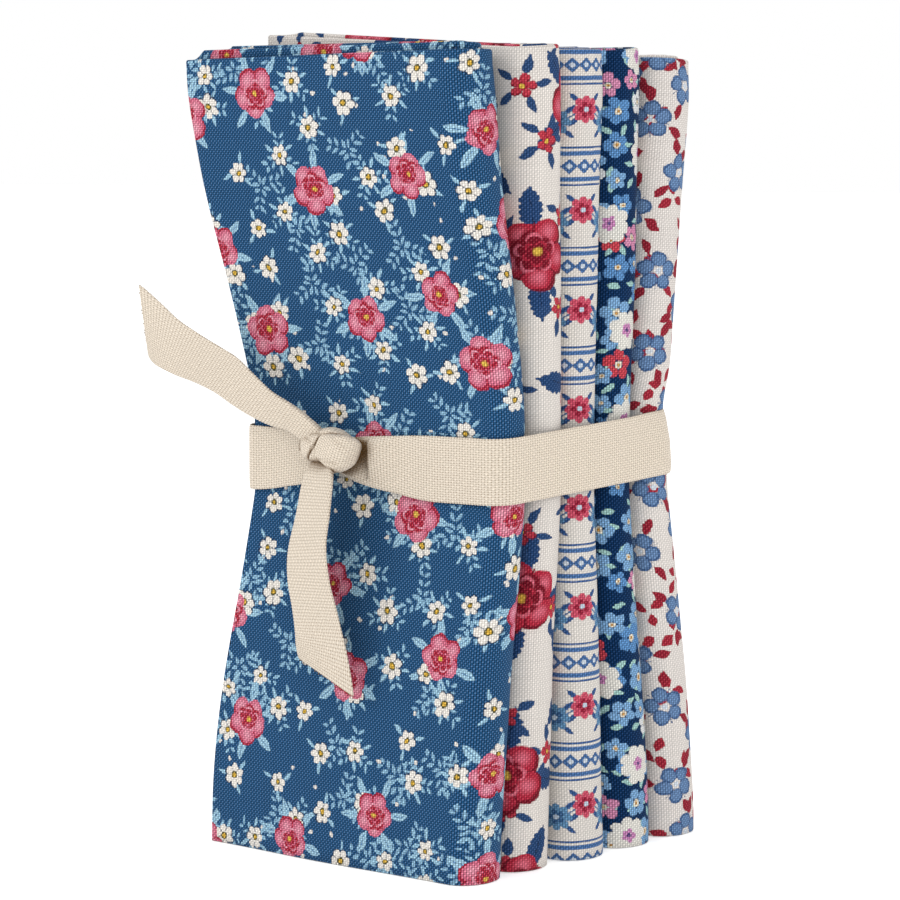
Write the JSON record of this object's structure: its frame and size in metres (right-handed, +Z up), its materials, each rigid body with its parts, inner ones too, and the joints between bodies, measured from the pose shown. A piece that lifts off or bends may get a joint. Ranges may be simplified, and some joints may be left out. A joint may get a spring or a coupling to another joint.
{
  "type": "fat quarter bundle",
  "caption": "Folded printed cotton fat quarters standing upright side by side, tied round the middle with a knotted cotton tape.",
  "frame": {"origin": "bottom centre of the bundle's bounding box, on the surface that it stands on", "axes": "+Z up along the standing packets, -Y out of the front packet's printed face with the knot, +X towards the round folds"},
  "size_m": [0.1086, 0.0874, 0.1913],
  "materials": {
    "print_blue": "matte plain-weave cotton, mid-blue ground with small pink, white and pale blue motifs",
    "print_bold": "matte plain-weave cotton, cream ground with large navy and red motifs",
    "print_bands": "matte plain-weave cotton, cream ground with blue cross bands and rows of small pink motifs",
    "print_navy": "matte plain-weave cotton, navy ground with dense small motifs",
    "print_sprigs": "matte plain-weave cotton, cream ground with red and slate-blue motifs",
    "tape_cotton": "matte coarse cotton tape, undyed"
  },
  "bodies": {
    "root": {"packet_1": "print_blue", "packet_2": "print_bold", "packet_3": "print_bands", "packet_4": "print_navy", "packet_5": "print_sprigs", "tape": "tape_cotton"}
  },
  "joints": []
}
